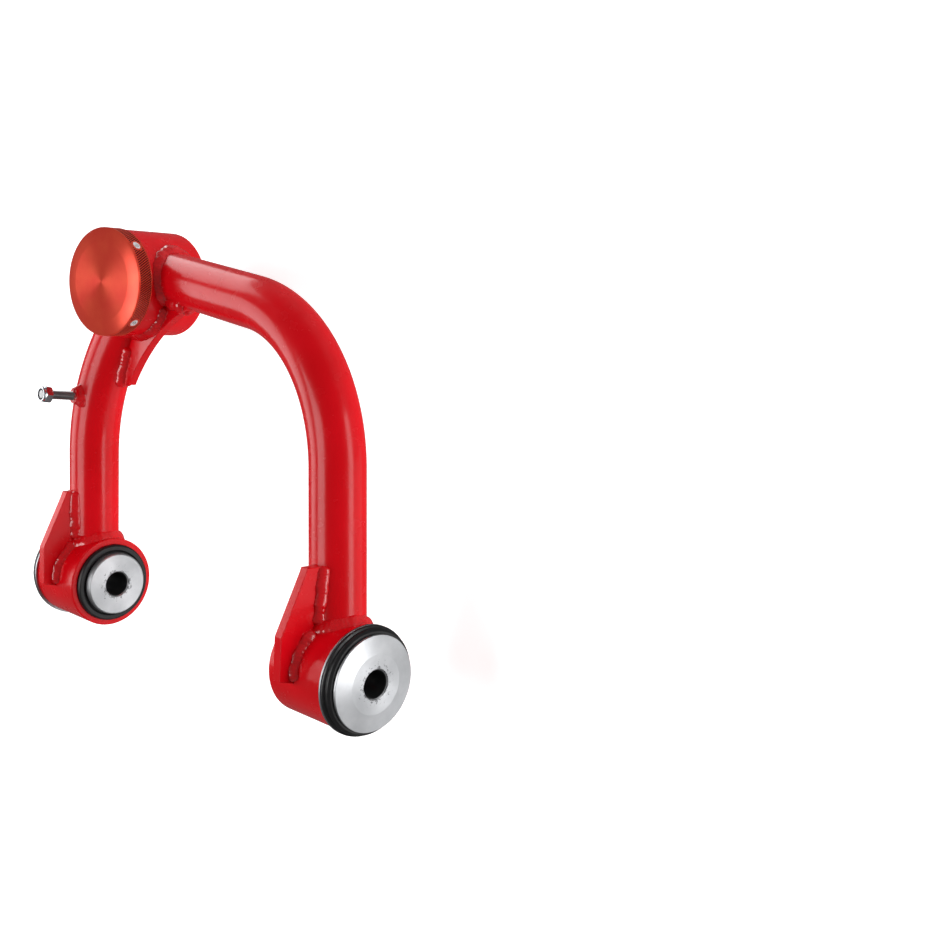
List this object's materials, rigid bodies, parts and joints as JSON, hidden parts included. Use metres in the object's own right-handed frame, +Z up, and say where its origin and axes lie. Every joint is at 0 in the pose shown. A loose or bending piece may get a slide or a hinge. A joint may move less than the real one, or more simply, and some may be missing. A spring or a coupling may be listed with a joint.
{
  "type": "control arm",
  "caption": "Tubular upper control arm with two bushed pivot eyes, a ball joint cup under a knurled cap, gussets and a brake line bolt.",
  "frame": {"origin": "on the pivot axis, midway between the two eyes", "axes": "+Y along the pivot axis from the front eye to the rear eye, +X outboard to the ball joint, +Z up, on the side of the cap"},
  "size_m": [0.2687, 0.3294, 0.1243],
  "materials": {
    "paint": "glossy red powder coat",
    "cap_anodised": "spun and anodised orange-red",
    "alloy": "turned, bare",
    "rubber": "moulded black",
    "shell_steel": "plain steel",
    "stud_steel": "machined",
    "body_steel": "phosphate grey",
    "zinc": "bright zinc plate",
    "dark_steel": "black oxide",
    "polymer": "bearing polymer",
    "nylon": "black nylon",
    "chrome": "polished"
  },
  "bodies": {
    "arm": {"front_tube": "paint", "rear_tube": "paint", "front_eye": "paint", "rear_eye": "paint", "ball_joint_cup": "paint", "front_gusset": "paint", "rear_gusset": "paint", "web_gusset": "paint", "front_eye_weld": "paint", "rear_eye_weld": "paint", "front_cup_weld": "paint", "rear_cup_weld": "paint", "front_gusset_welds": "paint", "rear_gusset_welds": "paint", "web_gusset_welds": "paint", "brake_bolt_weld": "paint", "front_bushing_shell": "shell_steel", "front_bushing_rubber": "rubber", "rear_bushing_shell": "shell_steel", "rear_bushing_rubber": "rubber", "ball_joint_body": "body_steel", "ball_bearing": "polymer", "pressure_seat": "polymer", "preload_spring_washer": "stud_steel", "cover_plate": "shell_steel", "boot_upper_clip": "stud_steel", "billet_cap": "cap_anodised", "cap_seal": "rubber", "cap_set_screws": "chrome", "brake_line_bolt": "dark_steel", "brake_line_nut": "zinc", "nut_locking_ring": "nylon"},
    "front_sleeve": {"front_bushing_sleeve": "alloy"},
    "rear_sleeve": {"rear_bushing_sleeve": "alloy"},
    "boot_fold": {"boot_upper_fold": "rubber"},
    "boot_foot": {"boot_lower_fold": "rubber", "boot_lower_clip": "stud_steel"},
    "stud": {"ball_stud": "stud_steel", "castle_nut": "zinc", "cotter_pin": "zinc"}
  },
  "joints": [
    {"name": "front_pivot", "type": "hinge", "parent": "arm", "child": "front_sleeve", "pos_m": [0, -0.1325, 0], "axis": [0, 1, 0], "range_deg": [-30, 30], "stiffness_Nm_per_rad": 60},
    {"name": "rear_pivot", "type": "hinge", "parent": "arm", "child": "rear_sleeve", "pos_m": [0, 0.1325, 0], "axis": [0, 1, 0], "range_deg": [-30, 30], "stiffness_Nm_per_rad": 60},
    {"name": "stud_swing_in_out", "type": "hinge", "parent": "arm", "child": "boot_fold", "pos_m": [0.203, 0.09, -0.009], "axis": [0, 0.989, 0.1478], "range_deg": [-16, 16], "deforming": ["boot_upper_fold"]},
    {"name": "stud_swing_front_rear", "type": "hinge", "parent": "boot_fold", "child": "boot_foot", "pos_m": [0.203, 0.09, -0.009], "axis": [1, 0, 0], "range_deg": [-16, 16], "deforming": ["boot_lower_fold"]},
    {"name": "stud_turn", "type": "hinge", "parent": "boot_foot", "child": "stud", "pos_m": [0.203, 0.09, -0.009], "axis": [0, -0.1478, 0.989], "continuous": true}
  ]
}
